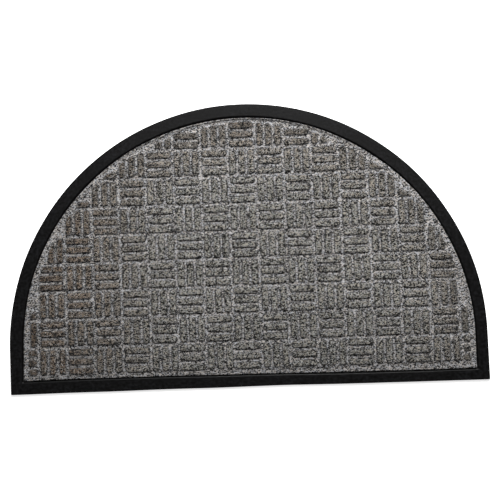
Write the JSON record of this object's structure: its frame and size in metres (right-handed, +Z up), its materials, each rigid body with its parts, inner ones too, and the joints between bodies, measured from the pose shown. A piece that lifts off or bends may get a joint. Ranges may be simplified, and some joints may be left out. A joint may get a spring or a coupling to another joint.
{
  "type": "half-round doormat",
  "caption": "Half-round doormat: a rubber base with a raised border holds a needle-felt carpet panel pressed into a parquet of ribs.",
  "frame": {"origin": "centre of the mat's bounding box, on the floor plane under it", "axes": "+Z up from the floor, +X along the straight edge, +Y from the straight edge towards the top of the curve"},
  "size_m": [0.75, 0.45, 0.006],
  "materials": {
    "rubber_base": "matte, very finely grained black rubber",
    "carpet_panel": "heathered grey-brown needle felt, matte and fuzzy"
  },
  "bodies": {
    "root": {"rubber_base": "rubber_base", "carpet_panel": "carpet_panel"}
  },
  "joints": []
}
